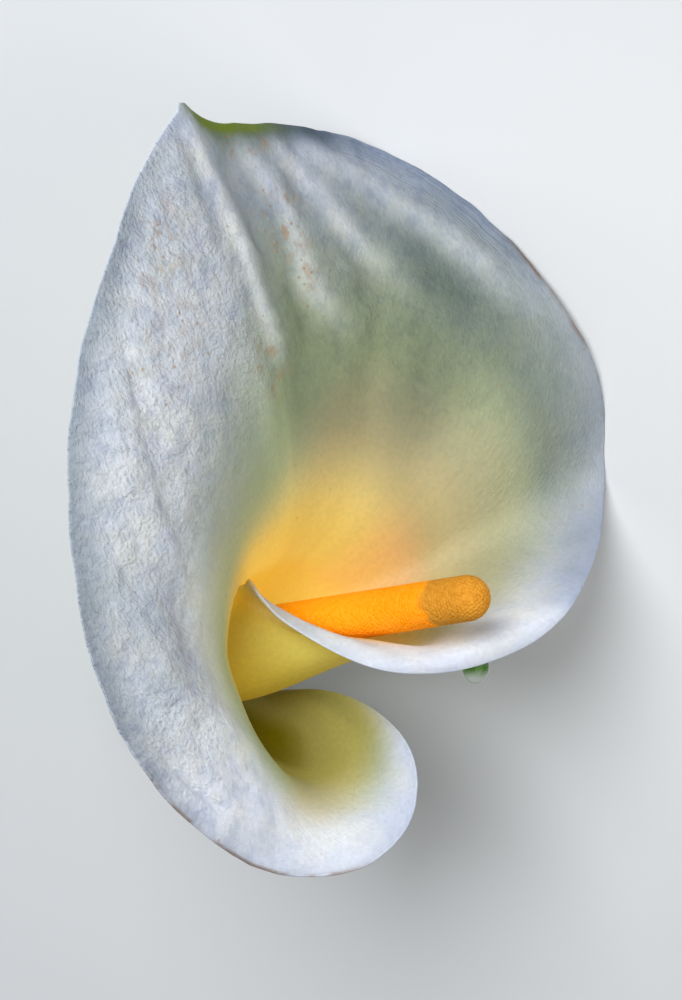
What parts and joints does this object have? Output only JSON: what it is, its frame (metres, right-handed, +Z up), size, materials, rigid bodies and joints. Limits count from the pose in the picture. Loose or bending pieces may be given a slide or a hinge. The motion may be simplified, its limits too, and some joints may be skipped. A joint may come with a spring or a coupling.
{
  "type": "arum lily flower",
  "caption": "Picked arum lily flower lying on a surface: a white spathe rolled round an orange spadix, with a short cut stem and a hanging drop of water.",
  "frame": {"origin": "middle of the flower's box on the surface that it lies on", "axes": "+Z up from the surface, +X towards the spathe's pointed tip, -Y the way the mouth faces"},
  "size_m": [0.1552, 0.1281, 0.1062],
  "materials": {
    "spathe": "soft white petal, waxy satin, thin enough to glow yellow-green at the throat",
    "spadix": "fine pollen-covered florets, matt orange-yellow",
    "stem": "smooth green plant stem, satin",
    "water": "clear water"
  },
  "bodies": {
    "root": {"spathe": "spathe", "spadix": "spadix", "stem": "stem", "water_drop": "water"}
  },
  "joints": []
}
